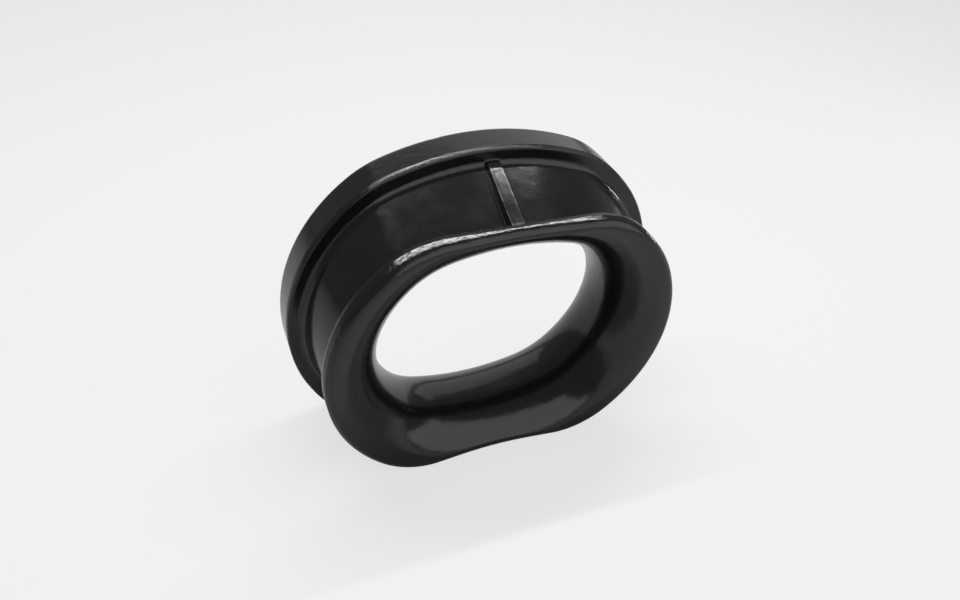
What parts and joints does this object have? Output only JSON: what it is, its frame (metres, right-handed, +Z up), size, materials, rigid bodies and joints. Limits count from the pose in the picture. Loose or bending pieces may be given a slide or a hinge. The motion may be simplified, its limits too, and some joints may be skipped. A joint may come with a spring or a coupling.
{
  "type": "mooring chock",
  "caption": "Closed cast mooring chock with an oval bell-mouthed throat between a smaller front flange and a larger arched rear flange, and a ribbed groove around it.",
  "frame": {"origin": "on the foot plane, under the middle of the casting", "axes": "+Z up; +Y through the throat from the smaller front flange to the rear flange; +X to the right of a viewer in front, along the throat's width"},
  "size_m": [0.506, 0.168, 0.407],
  "materials": {
    "black_paint": "semi-gloss black paint over a slightly rough casting"
  },
  "bodies": {
    "root": {"chock_casting": "black_paint"}
  },
  "joints": []
}
